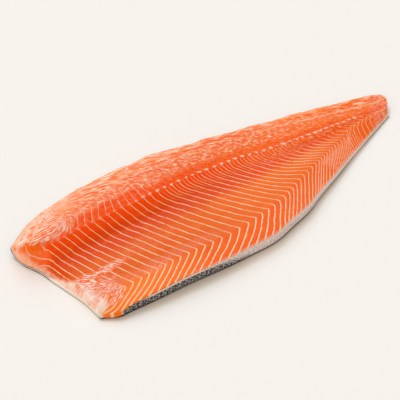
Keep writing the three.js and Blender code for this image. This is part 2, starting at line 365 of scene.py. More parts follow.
def walked(points, axis):
    """How far each point of a net has come from the first of its column or row, in mm."""
    steps = np.linalg.norm(np.diff(points, axis=axis), axis=-1)
    first = np.zeros_like(np.take(points[..., 0], (0,), axis))
    return np.concatenate((first, np.cumsum(steps, axis)), axis)


def mesh_piece(name, points, faces, attributes, material):
    """A smooth-shaded mesh object from points in the fillet's axes, with its attributes."""
    mesh = bpy.data.meshes.new(name)
    mesh.from_pydata(to_frame(points).tolist(), [], faces.tolist())
    mesh.shade_smooth()
    for key, values in attributes.items():
        values = np.asarray(values, dtype=np.float32)
        if values.ndim == 1:
            layer = mesh.attributes.new(key, "FLOAT", "POINT")
            layer.data.foreach_set("value", values)
        else:
            layer = mesh.attributes.new(key, "FLOAT_COLOR", "POINT")
            layer.data.foreach_set("color", np.pad(values, ((0, 0), (0, 1)), constant_values=1).ravel())
    mesh.materials.append(material)
    piece = bpy.data.objects.new(name, mesh)
    bpy.context.collection.objects.link(piece)
    return piece


# ---- colours


def srgb(red, green, blue):
    """A colour given as it looks on screen, from 0 to 255, as linear RGBA."""
    def linear(value):
        value /= 255
        return value / 12.92 if value <= 0.04045 else ((value + 0.055) / 1.055) ** 2.4
    return (linear(red), linear(green), linear(blue), 1)


GLOSS = (0.006, 0.007, 0.011)  # what reflections add to a wet face


def seen(red, green, blue):
    """The colour a wet face needs so that it looks like this in the studio's light."""
    lit = [value - gloss for value, gloss in zip(srgb(red, green, blue), GLOSS)]
    return tuple(min(1, max(0.001, value)) for value in lit) + (1,)


# The flesh's ground: towards the head, towards the tail, and the x over which the one becomes the other.
GROUND = {
    "belly": ((228, 98, 34), (240, 112, 42), (120, 330)),
    # hollow: a darker red, partly painted shade of the hollow below the midline
    "hollow": ((220, 70, 6), (236, 78, 4), (200, 400)),
    "deep": ((248, 78, 6), (248, 100, 30), (260, 400)),
    "flap": ((248, 124, 40), (240, 98, 18), (60, 190)),
    "strip": ((250, 84, 4), (248, 96, 14), (180, 330)),
    "loin": ((250, 128, 84), (250, 116, 46), (120, 420)),
    "flank": ((250, 144, 84), (250, 120, 26), (150, 400)),
    "shoulder": ((249, 188, 150), (249, 160, 102), (150, 450)),
    "cut": ((245, 108, 58), (248, 130, 72), (200, 300)),
}
CUT_TOP = seen(255, 104, 2)
CUT_DEEP = seen(216, 78, 22)
TAIL = seen(242, 100, 24)
TORN = seen(250, 132, 72)
FAT = seen(244, 220, 206)
FAT_OF_BACK = seen(226, 196, 174)
WHITE = seen(253, 232, 222)
RIM = seen(240, 200, 184)
DARK_FOOT = srgb(46, 40, 40)
PALE_FOOT = srgb(244, 234, 226)

# The colours of the marks on it.
DETAIL = {
    "line": seen(250, 202, 172),
    # dim: the lines' colour where they run through the hollow, darkened as painted shade
    "dim": seen(249, 186, 148),
    "wall": seen(252, 208, 188),
    "orange": seen(248, 98, 10),
    # blush and white: in the loin's specks they are painted sheen and glints; white also marks fat, slits,
    # rings and flecks
    "blush": seen(252, 176, 146),
    "white": seen(253, 228, 216),
    "glow": seen(250, 132, 52),
    "pale": seen(252, 206, 178),
    "stroke": seen(243, 88, 20),
    "crease": seen(246, 94, 14),
    "shade": seen(228, 68, 6),
    "knot": seen(252, 220, 206),
}

# ---- flesh: shape

MIDLINE_ROW = round(SHARES[MIDLINE] * (ROWS - 1))
PATCH_EDGE = (1.15, 0.35)  # where a patch begins and is whole, in its reaches


def head_cut(top_edge, columns):
    """Points from the foot of the head cut up to just before its top edge, column by column."""
    y = top_edge[:, 1]
    back_y, belly_y = ACROSS[BACK][0], ACROSS[BELLY][0]
    back_part = np.clip((y - (back_y - BACK_TURN[0])) / (BACK_TURN[0] - FLESH_INSET), 0, 1)
    belly_turn = max(LEAST_BELLY_TURN, BELLY_TURN[0] - FLESH_INSET)
    belly_part = np.clip((belly_y + BELLY_TURN[0] - y) / belly_turn, 0, 1)
    back_rise = (HEIGHTS[BACK][0] - FLESH_INSET) * (1 - np.sqrt(1 - back_part**2))
    belly_rise = (HEIGHTS[BELLY][0] - FLESH_INSET) * (1 - np.sqrt(1 - belly_part**2))
    foot_z = SKIN_THICKNESS + HEAD_SKIN_LIFT + HEAD_FOOT_GAP + back_rise + belly_rise
    foot = np.stack((curve(*HEAD_CUT, y) + SKIN_PAST_HEAD, y, foot_z), axis=-1)
    steps = np.arange(columns)[None, :, None] / columns
    return foot[:, None] + (top_edge - foot)[:, None] * steps


def tail_cut(top_edge, columns):
    """Points from just past the tail's top edge down to the foot of the cut."""
    y = top_edge[:, 1]
    foot = np.stack((curve(*TAIL_CUT, y) - SKIN_PAST_TAIL, y, np.full_like(y, FLESH_INSET)), axis=-1)
    steps = (1 + np.arange(columns))[None, :, None] / columns
    return top_edge[:, None] + (foot - top_edge)[:, None] * steps


def smooth_along(points, centre, reach, times):
    """Rounds an edge: averages each point near the column centre with its neighbours."""
    first, last = max(1, centre - reach), min(points.shape[1] - 1, centre + reach)
    for _ in range(times):
        inner = points[:, first:last]
        beside = points[:, first - 1:last - 1] + points[:, first + 1:last + 1]
        points[:, first:last] = (beside + 2 * inner) / 4


def gradient_length(values, points):
    """How much values change per mm along the surface of a net."""
    step_along = np.gradient(points, axis=1)
    step_across = np.gradient(points, axis=0)
    along = np.maximum(np.linalg.norm(step_along, axis=-1), 1e-3)
    across = np.maximum(np.linalg.norm(step_across, axis=-1), 1e-3)
    per_along = np.gradient(values, axis=1) / along
    per_across = np.gradient(values, axis=0) / across
    cosine = np.sum(step_along * step_across, axis=-1) / (along * across)
    square = per_along**2 + per_across**2 - 2 * cosine * per_along * per_across
    return np.sqrt(np.maximum(square / np.maximum(1 - cosine**2, 0.05), 1e-6))


def patch(x, y, middle, reach):
    """A soft-edged ellipse."""
    away = np.hypot((x - middle[0]) / reach[0], (y - middle[1]) / reach[1])
    return rise(away, *PATCH_EDGE)


def flesh_net():
    """The net over the flesh, cuts included, before relief, and its rows' shares of the width."""
    along = np.linspace(0, 1, COLUMNS)
    share = np.linspace(0, 1, ROWS)
    top = top_surface(along, share)
    head = head_cut(top[:, 0], HEAD_CUT_COLUMNS)
    tail = tail_cut(top[:, -1], TAIL_CUT_COLUMNS)
    points = np.concatenate((head, top, tail), axis=1)
    smooth_along(points, HEAD_CUT_COLUMNS, *HEAD_EDGE_ROUNDING)
    smooth_along(points, points.shape[1] - 1 - TAIL_CUT_COLUMNS, *TAIL_EDGE_ROUNDING)
    return points, share


def net_normals(points):
    """Unit normals of a net, pointing out of the flesh."""
    normal = np.cross(np.gradient(points, axis=0), np.gradient(points, axis=1))
    return normal / np.maximum(np.linalg.norm(normal, axis=-1, keepdims=True), 1e-6)


# ---- flesh: what each point is like

# Layers of noise: strength, the size of its features in two directions in mm, and seed.
SEPTUM_WAVER = ((0.06, 14, 9, 11), (0.035, 5, 4, 12))
ZONE_WAVER = ((0.008, 16, 12, 14), (0.004, 5, 5, 15))
RING_WAVER = ((2.2, 13, 8, 17), (0.8, 5, 4, 18))
BLOTCHES = ((0.5, 30, 16, 13),)
CUT_TOP_WAVER = ((2.5, 5, 5, 54),)
FAT_EDGE_WAVER = ((1.5, 4, 4, 18),)
FAT_STREAKS = ((0.3, 5, 9, 51), (0.2, 2.5, 3, 52))
WHITE_LUMPS = ((1, 5.5, 6, 53),)
DORSAL_LUMPS = ((0.35, 1 / 2.3, 9, 31), (0.25, 1 / 5.5, 6, 32), (0.16, 1 / 12, 3.5, 33))  # in septa and mm
SWELL = ((0.5, 45, 32, 34), (0.05, 2.2, 2.2, 37))
FINE_FIBRES = ((0.4, 2.2, 1.7, 36),)
FAT_LUMPS = ((1.1, 6, 7, 38), (0.3, 2.5, 3, 39))
FRAYS = ((0.7, 3.5, 5, 40),)

# The foremost muscle blocks are cones around the midline, which the head cut lays open.
SEPTA_DOWN_CUT = 0.075  # septa per mm down the cut
CONE_FLATNESS = 0.9
CONE = (0.53, 0.37)  # the share of the way across at which they begin and are whole
CONE_BELOW_EDGE = (0, 3)  # and how far down the cut
CUT_BELOW_EDGE = (1, 4)
LEAST_SEPTA_PER_MM = 0.03
# The rings beside the head cut: their middle, how much longer than wide they are, and their spacing.
RINGS_MIDDLE = (34, 53)
RINGS_LENGTH = 1.4
RINGS_APART = 3.8

# How far up from its foot the fat reaches over the head cut, by y.
FAT_REACH = (
    (-86, -79, -70, -50, -30, -15, 0, 12, 28, 42, 50, 64, 80),
    (4, 12, 24, 24, 17, 9, 6, 7, 7, 8, 13, 12, 4),
)
FAT_EDGE = (4, -5)  # where it begins and is whole, past that
FAT_WANDER = (3.5, 8, 0.3, 16)  # strength, mm, row of the noise and seed
FAT_CORNER = ((15, -77), (11, 9))  # middle and reach
WHITE_TUFT = ((-8, 66), (8, 5))
DEEP_PATCH = ((8, 10), (22, 10))  # the same, in y and mm down the cut
CUT_TOP_BAND = (13, 8)  # mm down the cut at which the bright band at its top ends

# The torn fibres near the head: strength, middle and reach.
TORN_PATCHES = (
    (1.3, (22, -34), (18, 12)), (1, (36, -71), (20, 16)), (0.9, (58, -32), (34, 7)),
    (0.3, (108, -70), (24, 7)), (0.1, (125, -25), (50, 16)), (0.6, (34, -52), (26, 14)),
)
FIBRE_LEAN = 0.53  # mm across per mm along that they run, above the flap
FLAP_FIBRE_LEAN = -0.47

# Slits in the shoulder where the bones of the back fin were: x and the share of the way across.
FIN_SLITS = tuple((381 + 14.3 * i, 0.19 + 0.006 * math.sin(2.4 * i)) for i in range(7))
SLIT_LEAN = 0.4
SLIT_REACH = (3.6, 1.6)
# The seam behind them: x and the share of the way across, and the x between which it shows.
SEAM = ((360, 430, 500, 600), (0.25, 0.262, 0.27, 0.285))
SEAM_ENDS = (372, 604)
SEAM_WANDER = (1.2, 9, 0.5, 19)
WIDTH = 190  # mm across, about, where a share has to be a length
FAR = 9  # mm, where a line isn't

LEVEL_SLOPE = 0.29  # mm towards the belly per mm towards the tail that the shoulder's streaks run

# Where things show, by what field() gives, such as the share of the way across. Two numbers are a
# start, or an end where they fall, and four are both.
PLACES = {
    # hollow: where the darker ground, partly painted shade, lies
    "hollow": {"across": (0.42, 0.46, 0.56, 0.66)},
    "deep": {"across": (0.4, 0.415, 0.44, 0.52)},
    "strip": {"across": (0.25, 0.3, 0.4, 0.415)},
    "flank": {"across": (0.28, 0.23)},
    "shoulder": {"across": (0.21, 0.08)},
    "tail": {"across": (0.46, 0.52), "x": (430, 520, 560, 590)},
    "cut": {"across": (0.52, 0.42)},
    "cut top": {"across": (0.12, 0.16, 0.33, 0.4), "down_cut": (0.5, 2)},
    "back's fat": {"across": (0.6, 0.48)},
    "firm fat": {"across": (0.78, 0.86)},
    "white fat": {"across": (0.56, 0.64)},
    "rim": {"x": (90, 200), "to_belly_edge": (1.8, 0.7)},
    "dark foot": {"across": (0.02, 0.05), "x": (200, 100), "y": (6, 14), "from_foot": (0.6, 0.2)},
    "pale foot": {
        "across": (0.02, 0.05, 0.96, 0.99), "x": (200, 100), "y": (14, 6), "from_foot": (2.2, 1.2),
    },
    # where the head cut's painted light is stronger, towards the back
    "back of the cut's painted light": {"across": (0.46, 0.36)},
    "near the head cut": {"x": (200, 100)},
    "arcs": {"across": (0.02, 0.08, 0.36, 0.39), "x": (62, 44)},
    "lines": {"across": (0.402, 0.42)},
    "mottled": {"across": (0.4, 0.41, 0.5, 0.58), "x": (320, 380)},
    "tail's lines": {"x": (400, 520)},
    "chevrons' points": {"across": (0.73, 0.765, 0.785, 0.82)},
    "flap's lines": {"across": (0.8, 0.86), "x": (260, 330, 480, 540)},
    "dorsal lines": {"across": (0.02, 0.06, 0.3, 0.36), "x": (420, 260)},
    "between": {"across": (0.405, 0.425), "x": (175, 215, 400, 430)},
    "between at the flap": {"across": (0.84, 0.88), "x": (415, 435, 500, 520)},
    "cells": {"across": (0.29, 0.33, 0.38, 0.41), "x": (38, 56, 150, 220)},
    "strokes": {"across": (0.33, 0.27)},
    "behind the strokes": {"x": (70, 110)},
    "creases": {"across": (0.1, 0.16, 0.24, 0.29), "x": (60, 90)},
    "pale": {"across": (0.3, 0.05)},
    "less pale": {"x": (250, 450)},
    "rim's specks": {"across": (0.12, 0.06), "x": (110, 170)},
    "fewer specks": {"x": (330, 480)},
    "streaks": {"across": (0.03, 0.09, 0.23, 0.3), "x": (55, 100)},
    "fewer streaks": {"x": (370, 430, 500, 540)},
    # dim: where the lines take painted shade, over the hollow
    "dim": {"across": (0.58, 0.5)},
    "flecked points": {"across": (0.745, 0.775, 0.795, 0.82), "x": (260, 160)},
    "knots": {"x": (14, 26, 530, 552)},
    "bold knots": {"x": (130, 200)},
    "mottled loin": {"across": (0.33, 0.36, 0.385, 0.4)},
    "tail's end": {"to_tail": (60, 25)},
    "tail's face": {"to_tail": (18, 6)},
    "flap's fibres": {"across": (0.74, 0.8)},
    "dorsal muscle": {"share": (0.41, 0.37)},
    "long knots": {"x": (230, 330)},
    "frayed": {"share": (0.02, 0.2, 0.8, 0.98), "to_tail": (16, 5)},
    "off the cuts' feet": {"from_foot": (0.3, 3.5), "to_tail": (0.3, 3)},
}
# What dims the fat lines below the midline, and by how much.
LINES_DIMMED = (("tail's lines", 0.35), ("chevrons' points", 0.4), ("flap's lines", 0.3))


def field(points, share):
    """Each point's place: named arrays that the painting below reads."""
    x, y = points[..., 0], points[..., 1]
    shares = np.broadcast_to(share[:, None], x.shape)
    from_foot = walked(points, 1)
    down_cut = np.maximum(from_foot[:, HEAD_CUT_COLUMNS, None] - from_foot, 0)
    run = walked(points, 0)
    run -= run[MIDLINE_ROW].copy()
    number = septa(x, share) - SEPTA_DOWN_CUT * down_cut
    middle = (MIDLINE_ROW, HEAD_CUT_COLUMNS)
    around_middle = np.hypot(y - y[middle], CONE_FLATNESS * down_cut)
    on_cone = rise(shares, *CONE) * rise(down_cut, *CONE_BELOW_EDGE)
    number += (number[middle] - SEPTA_DOWN_CUT * around_middle - number) * on_cone
    pitch = 1 / np.maximum(gradient_length(number, points), LEAST_SEPTA_PER_MM)
    around_rings = np.hypot(np.maximum(x - RINGS_MIDDLE[0], 0) / RINGS_LENGTH, y - RINGS_MIDDLE[1])
    return {
        "x": x,
        "y": y,
        "share": shares,
        "run": run,
        "number": number + layered(x, run, SEPTUM_WAVER),
        "pitch": pitch,
        "level": y + LEVEL_SLOPE * x,
        "across": shares + layered(x, run, ZONE_WAVER),
        "from_foot": from_foot,
        "down_cut": down_cut,
        "cut": rise(down_cut, *CUT_BELOW_EDGE),
        "rings": (around_rings + layered(x, y, RING_WAVER)) / RINGS_APART,
        "to_belly_edge": run[-1] - run,
        "to_tail": from_foot[:, -1:] - from_foot,
    }


def shows(at, place):
    """How far each point is in one of the PLACES, from 0 to 1."""
    return math.prod(within(at[key], edges) for key, edges in PLACES[place].items())


def blend(colour, other, share):
    return colour + (np.asarray(other)[..., :3] - colour) * share[..., None]


def ground(at, zone):
    """The zone's colour along the fillet."""
    head, tail, turn = GROUND[zone]
    return blend(np.broadcast_to(seen(*head)[:3], at["x"].shape + (3,)), seen(*tail), rise(at["x"], *turn))


def muscle_tint(at):
    """The colours of the muscle from above: each zone lies over those before it."""
    across, x = at["across"], at["x"]
    flap_from = 0.78 - 0.04 * rise(x, 160, 60)
    loin_to = 0.375 - 0.03 * rise(x, 190, 150) + 0.045 * rise(x, 75, 50)
    zones = {
        "hollow": shows(at, "hollow"),
        "deep": shows(at, "deep"),
        "flap": rise(across, flap_from, 0.85),
        "strip": shows(at, "strip"),
        "loin": rise(across, loin_to, loin_to - 0.04),
        "flank": shows(at, "flank"),
        "shoulder": shows(at, "shoulder"),
    }
    colour = ground(at, "belly")
    for zone, share in zones.items():
        colour = blend(colour, ground(at, zone), share)
    return blend(colour, TAIL, 0.7 * shows(at, "tail"))


def fat_tint(at):
    """The colours of the fat along the head cut's foot."""
    y, from_foot = at["y"], at["from_foot"]
    colour = blend(np.broadcast_to(FAT[:3], y.shape + (3,)), FAT_OF_BACK, shows(at, "back's fat"))
    lumps = rise(layered(y, from_foot, WHITE_LUMPS), 0.1, 0.5)
    return blend(colour, WHITE, lumps * shows(at, "white fat"))


def flesh_tint(at, marks):
    """The flesh's ground colour, under its lines, strokes and flecks."""
    x, y, down, from_foot = (at[key] for key in ("x", "y", "down_cut", "from_foot"))
    cut = ground(at, "cut")
    band = rise(down + layered(y, down, CUT_TOP_WAVER), *CUT_TOP_BAND)
    firmness = 0.8 + 0.35 * shows(at, "firm fat") + layered(y, from_foot, FAT_STREAKS)
    layers = (
        (cut, 0.9 * at["cut"] * shows(at, "cut")),
        (CUT_TOP, band * shows(at, "cut top")),
        (CUT_DEEP, 0.7 * patch(y, down, *DEEP_PATCH) * at["cut"]),
        (cut, 0.7 * shows(at, "tail's face")),
        (TORN, 0.3 * marks["torn"]),
        (fat_tint(at), np.clip(marks["fat"] * firmness, 0, 1)),
        (WHITE, 0.8 * patch(x, y, *WHITE_TUFT)),
        (RIM, 0.6 * shows(at, "rim")),
        (DARK_FOOT, shows(at, "dark foot")),
        (PALE_FOOT, shows(at, "pale foot")),
    )
    colour = muscle_tint(at)
    for over, share in layers:
        colour = blend(colour, over, share)
    # Painted light: the head cut faces away from the lamps, so its colours are brightened, more towards the
    # back.
    painted_cut_light = at["cut"] * (0.08 + 0.16 * shows(at, "back of the cut's painted light"))
    return np.clip(colour * (1 + painted_cut_light)[..., None], 0, 0.98)


def torn_and_fat(at):
    """Where the fibres are torn, and where fat covers the head cut's foot."""
    x, y = at["x"], at["y"]
    torn = sum(strength * patch(x, y, middle, reach) for strength, middle, reach in TORN_PATCHES)
    torn = np.clip(torn * (0.85 + layered(x, at["run"], BLOTCHES)), 0, 1)
    reach = curve(*FAT_REACH, y) + wander(y, *FAT_WANDER) + layered(y, x, FAT_EDGE_WAVER)
    fat = rise(at["from_foot"], reach + FAT_EDGE[0], reach + FAT_EDGE[1])
    return torn, np.maximum(fat * shows(at, "near the head cut"), patch(x, y, *FAT_CORNER))


def line_marks(at, tail_end):
    """How strongly the septa show as lines, and where blotches and the rings take their place."""
    surface = 1 - at["cut"]
    arcs = shows(at, "arcs") * surface
    mottled = shows(at, "mottled")
    line = shows(at, "lines") * (1 - 0.6 * mottled) * (1 - 0.6 * tail_end)
    for place, dimmed in LINES_DIMMED:
        line = line * (1 - dimmed * shows(at, place))
    dorsal_line = 0.3 * shows(at, "dorsal lines") * (1 - arcs)
    return np.maximum(line * surface, np.maximum(dorsal_line, at["cut"])), arcs, mottled


def fin_marks(at):
    """How far the seam over the fin rays is, in mm, and where the back fin's slits are."""
    x, across = at["x"], at["across"]
    off_seam = np.abs((across - curve(*SEAM, x)) * WIDTH + wander(x, *SEAM_WANDER))
    seam = np.where((x > SEAM_ENDS[0]) & (x < SEAM_ENDS[1]), off_seam, FAR)
    slits = np.zeros_like(x)
    for slit_x, slit_across in FIN_SLITS:
        leaning_x = x - SLIT_LEAN * (across - slit_across) * WIDTH
        slits = np.maximum(slits, patch(leaning_x, across * WIDTH, (slit_x, slit_across * WIDTH), SLIT_REACH))
    return seam, slits


def flesh_marks(at):
    """How strongly each kind of mark shows, from 0 to 1, but for the distances in mm."""
    x, across, run = at["x"], at["across"], at["run"]
    surface = 1 - at["cut"]
    torn, fat = torn_and_fat(at)
    tail_end = shows(at, "tail's end")
    line, arcs, mottled = line_marks(at, tail_end)
    seam, slits = fin_marks(at)
    between_to = 0.54 + 0.03 * rise(x, 260, 320)
    between = 0.75 * shows(at, "between") * rise(across, between_to, 0.47)
    # Specks over the loin: dark orange marks, with painted sheen and glints among them
    specks_back = 0.03 * rise(x, 190, 150)
    specks = hill(across, 0.17, 0.26, 0.33 - specks_back, 0.37 - specks_back)
    specks += 0.45 * shows(at, "rim's specks")
    strokes = shows(at, "strokes") * (1 - 0.8 * arcs) * (1 - 0.8 * shows(at, "behind the strokes"))
    lean = FIBRE_LEAN + (FLAP_FIBRE_LEAN - FIBRE_LEAN) * shows(at, "flap's fibres")
    return {
        "torn": torn,
        "fat": fat,
        "fibre": run - x * lean,
        "lines": line * (1 - fat) * (1 - 0.75 * torn),
        "between": np.maximum(between, 0.8 * shows(at, "between at the flap")),
        "rings": at["rings"],
        "arcs": arcs * (1 - fat),
        "cells": shows(at, "cells") * (1 - fat) * surface,
        "strokes": strokes * (1 - fat) * surface,
        "creases": shows(at, "creases") * (1 - fat) * surface,
        "pale": np.clip(shows(at, "pale") * (1 - 0.5 * shows(at, "less pale")) + 0.25, 0, 1),
        "specks": specks * (1 - 0.5 * shows(at, "fewer specks")) * (1 - arcs) * surface,
        "streaks": shows(at, "streaks") * (1 - 0.65 * shows(at, "fewer streaks")),
        "dim": shows(at, "dim") * surface,
        # flecks: where torn fibres, the tail's end and the points carry flecks, whose white is partly painted
        # glints
        "flecks": np.clip(1.2 * torn + 0.3 * tail_end + 0.2 * shows(at, "flecked points"), 0, 1),
        "knots": shows(at, "knots") * (0.25 + 0.65 * shows(at, "bold knots")),
        "seam": seam,
        "slits": slits,
        "mottled": np.clip(mottled + 0.8 * tail_end + 0.4 * shows(at, "mottled loin"), 0, 1),
    }


# The relief, in mm: how much each muscle block crowns at each rail, and how wide its grooves are in septa.
CROWNS = (0.1, 0.4, 0.4, 0.3, 0.3, 0.5, 0.45)
GROOVE = 0.17
RIDGE_SEED = 35
KNOT_HEIGHT = 0.9
KNOT_LENGTH = (2.0, 3.6)  # half of it, towards the head and towards the tail
KNOT_HALF_WIDTH = 2.2
KNOT_EDGE = (1.3, 0.3)
SMOOTH_RIMS = 0.02


def flesh_relief(at, marks):
    """Heights to add to the net: muscle blocks, knots of fat, torn fibres and knife marks."""
    number, run, x, y, share = (at[key] for key in ("number", "run", "x", "y", "share"))
    off_septum = np.abs(number - np.round(number))
    crown = 0.5 - np.exp(-(off_septum / GROOVE) ** 2)
    relief = crown * curve(SHARES, CROWNS, share) + layered(x, run, SWELL)
    relief += shows(at, "dorsal muscle") * layered(number, run, DORSAL_LUMPS)
    ridged = 1 - 2 * np.abs(noise(x / 6.5 + run / 16, run / 3, RIDGE_SEED))
    relief += marks["torn"] * (0.7 * ridged + layered(x, run, FINE_FIBRES))
    relief = relief * (1 - 0.8 * marks["fat"]) + marks["fat"] * layered(y, at["from_foot"], FAT_LUMPS)
    half_length = KNOT_LENGTH[0] + (KNOT_LENGTH[1] - KNOT_LENGTH[0]) * shows(at, "long knots")
    off_knot = np.hypot(off_septum * at["pitch"] / half_length, run / KNOT_HALF_WIDTH)
    relief += KNOT_HEIGHT * rise(off_knot, *KNOT_EDGE) * marks["knots"]
    relief += shows(at, "frayed") * layered(y, x, FRAYS)
    from_rims = np.clip(np.minimum(share, 1 - share) / SMOOTH_RIMS, 0, 1)
    return relief * from_rims * shows(at, "off the cuts' feet")


def lip(points, rim, outward, reach=LIP_REACH, drop=LIP_DROP):
    """A row that lays the edge of the flesh over the skin's rim, so that no gap shows between."""
    row = points[rim].copy()
    row[:, 1] += outward * reach
    row[:, 2] -= drop
    return row


def belly_lips(points):
    """The lip's rows on the belly side. At the head's corner they run down over the skin like a wall."""
    x, height = points[-1, :, 0], points[-1, :, 2]
    corner = rise(x, *CORNER)
    reach = LIP_REACH + CORNER_REACH * corner
    to_middle = corner * np.maximum(0, CORNER_MIDDLE * height - LIP_DROP)
    foot_drop = LIP_DROP + 2 * LIP_STEP
    to_foot = corner * np.maximum(0, height - CORNER_FOOT - foot_drop)
    drops = (LIP_DROP, LIP_DROP + LIP_STEP + to_middle, foot_drop + to_foot)
    return [lip(points, -1, -1, reach, drop) for drop in drops]


def build_flesh(material):
    points, share = flesh_net()
    at = field(points, share)
    marks = flesh_marks(at)
    tint = flesh_tint(at, marks)
    points = points + net_normals(points) * flesh_relief(at, marks)[..., None]
    points = np.array([lip(points, 0, 1)] + list(points) + belly_lips(points))
    rows, columns = points.shape[:2]
    under_part = under_rows(
        np.linspace(0, 1, UNDER_COLUMNS), FLESH_INSET, UNDER_COUNTS,
        head_inset=UNDER_SET_BACK, tail_inset=UNDER_SET_BACK + SKIN_PAST_TAIL,
    )[1:-1]
    under_count = len(under_part) * UNDER_COLUMNS
    lips = ((1, 3), (0, 0))  # rows that the lips add before and after the net's own
    values = {"septum": at["number"], "along": at["x"]}
    values.update((key, at[key]) for key in ("pitch", "run", "level"))
    values.update((key, mark) for key, mark in marks.items() if key not in ("torn", "fat"))
    attributes = {}
    for key, value in values.items():
        attributes[key] = np.concatenate((np.pad(value, lips, mode="edge").ravel(), np.zeros(under_count)))
    upper_tint = np.pad(tint, lips + ((0, 0),), mode="edge").reshape(-1, 3)
    under_tint = np.broadcast_to(FAT[:3], (under_count, 3))
    attributes["tint"] = np.concatenate((upper_tint, under_tint))
    faces = np.concatenate((
        net_faces(rows, columns),
        net_faces(len(under_part), UNDER_COLUMNS, first=rows * columns, flip=True),
    ))
    all_points = np.concatenate((points.reshape(-1, 3), under_part.reshape(-1, 3)))
    return mesh_piece("salmon_flesh", all_points, faces, attributes, material)


# ---- skin


def build_skin(material):
    along = np.linspace(0, 1, COLUMNS)
    counts = (BACK_TURN_ROWS, FLAT_ROWS, BELLY_TURN_ROWS)
    outer = under_rows(along, 0, counts)
    inner = under_rows(along, SKIN_THICKNESS, counts)[::-1]
    inner[..., 2] += HEAD_SKIN_LIFT * rise(along, HEAD_SKIN_LIFTED, 0)
    rows = len(outer)
    points = np.concatenate((outer, inner, outer[:1]))
    from_back = walked(outer, 0)
    from_belly = from_back[-1] - from_back
    sides = {
        "from_back": (from_back, from_back[::-1]),
        "from_belly": (from_belly, from_belly[::-1]),
        "along": (outer[..., 0], inner[..., 0]),
        "height": (outer[..., 2], inner[..., 2]),
        "from_head": (outer[..., 0] - outer[:, :1, 0], inner[..., 0] - inner[:, :1, 0]),
        "inside": (np.zeros(from_back.shape), np.ones(from_back.shape)),
    }
    attributes = {}
    for key, (of_outer, of_inner) in sides.items():
        attributes[key] = np.concatenate((of_outer, of_inner, of_outer[:1])).ravel()
    faces = [net_faces(*points.shape[:2], flip=True)]
    outer_rows = np.arange(rows)
    inner_rows = 2 * rows - 1 - outer_rows
    for column, flipped in ((0, False), (COLUMNS - 1, True)):
        out, inn = outer_rows * COLUMNS + column, inner_rows * COLUMNS + column
        cap = np.stack((out[:-1], out[1:], inn[1:], inn[:-1]), axis=-1)
        faces.append(cap[:, ::-1] if flipped else cap)
    return mesh_piece("salmon_skin", points.reshape(-1, 3), np.concatenate(faces), attributes, material)


# ---- materials


class Paint:
    """A node material in the making. Its methods return sockets to carry on from."""

    def __init__(self, name, **looks):
        self.material = bpy.data.materials.new(name)
        self.material.use_nodes = True
        self.tree = self.material.node_tree
        self.shader = self.tree.nodes["Principled BSDF"]
        for key, value in looks.items():
            self.shader.inputs[key.replace("_", " ")].default_value = value
        self.colour = None
        self.made = {}

    def __getitem__(self, name):
        """One of the PATTERNS or a mesh attribute, each made once."""
        if name not in self.made:
            self.made[name] = self.pattern(*PATTERNS[name]) if name in PATTERNS else self.attribute(name)
        return self.made[name]

    def node(self, kind, inputs, output=0, **settings):
        node = self.tree.nodes.new(kind)
        for key, value in settings.items():
            setattr(node, key, value)
        for key, value in inputs.items():
            self.feed(node.inputs[key], value)
        return node.outputs[output]

    def feed(self, socket, value):
        if isinstance(value, bpy.types.NodeSocket):
            self.tree.links.new(value, socket)
        else:
            socket.default_value = value

    def attribute(self, name, output="Fac"):
        return self.node("ShaderNodeAttribute", {}, output, attribute_name=name)

    def maths(self, operation, *values):
        return self.node("ShaderNodeMath", dict(enumerate(values)), operation=operation)

    def chain(self, operation, first, *rest):
        for value in rest:
            first = self.maths(operation, first, value)
        return first

    def times(self, *values):
        return self.chain("MULTIPLY", *values)

    def plus(self, *values):
        return self.chain("ADD", *values)

    def most(self, *values):
        return self.chain("MAXIMUM", *values)

    def to_whole(self, number, spacing):
        """How far a number is from the nearest whole one, times the spacing."""
        return self.times(self.maths("PINGPONG", number, 0.5), spacing)

    def rise(self, value, low, high, top=1.0):
        """0 at low to top at high, smooth between."""
        inputs = {"Value": value, "From Min": low, "From Max": high, "To Max": top}
        return self.node("ShaderNodeMapRange", inputs, interpolation_type="SMOOTHSTEP")

    def mix(self, below, above, share):
        return self.node("ShaderNodeMix", {0: share, 6: below, 7: above}, 2, data_type="RGBA")

    def lay(self, above, *shares):
        """Lays a colour over what is painted so far, as strongly as its shares multiplied."""
        self.colour = self.mix(self.colour, above, self.times(*shares))

    def grid(self, a, a_cycles, b, b_cycles, depth=0.0):
        inputs = {0: self.times(a, a_cycles), 1: self.times(b, b_cycles), 2: depth}
        return self.node("ShaderNodeCombineXYZ", inputs)

    def pattern(self, first, first_cycles, second, second_cycles, depth, *texture):
        inputs = dict(zip(("Detail", "Roughness", "Distortion"), texture))
        inputs["Vector"] = self.grid(self[first], first_cycles, self[second], second_cycles, depth)
        inputs["Scale"] = 1.0
        return self.node("ShaderNodeTexNoise", inputs)

    def strokes(self, rows):
        for colour, pattern, low, high, strength, *marks in rows:
            shares = [self[mark] for mark in marks]
            self.lay(DETAIL[colour], *shares, self.rise(self[pattern], low, high, strength))

    def bumps(self, height, strength, distance):
        """Fine relief, its distance in mm."""
        bump = {"Height": height, "Strength": strength, "Distance": distance / 1000}
        self.feed(self.shader.inputs["Normal"], self.node("ShaderNodeBump", bump))

    def finish(self, unevenness):
        """Feeds the shader its colour and a roughness that varies with a pattern."""
        self.feed(self.shader.inputs["Base Color"], self.colour)
        self.feed(self.shader.inputs["Roughness"], self.plus(0.28, self.times(unevenness, 0.25)))
        return self.material


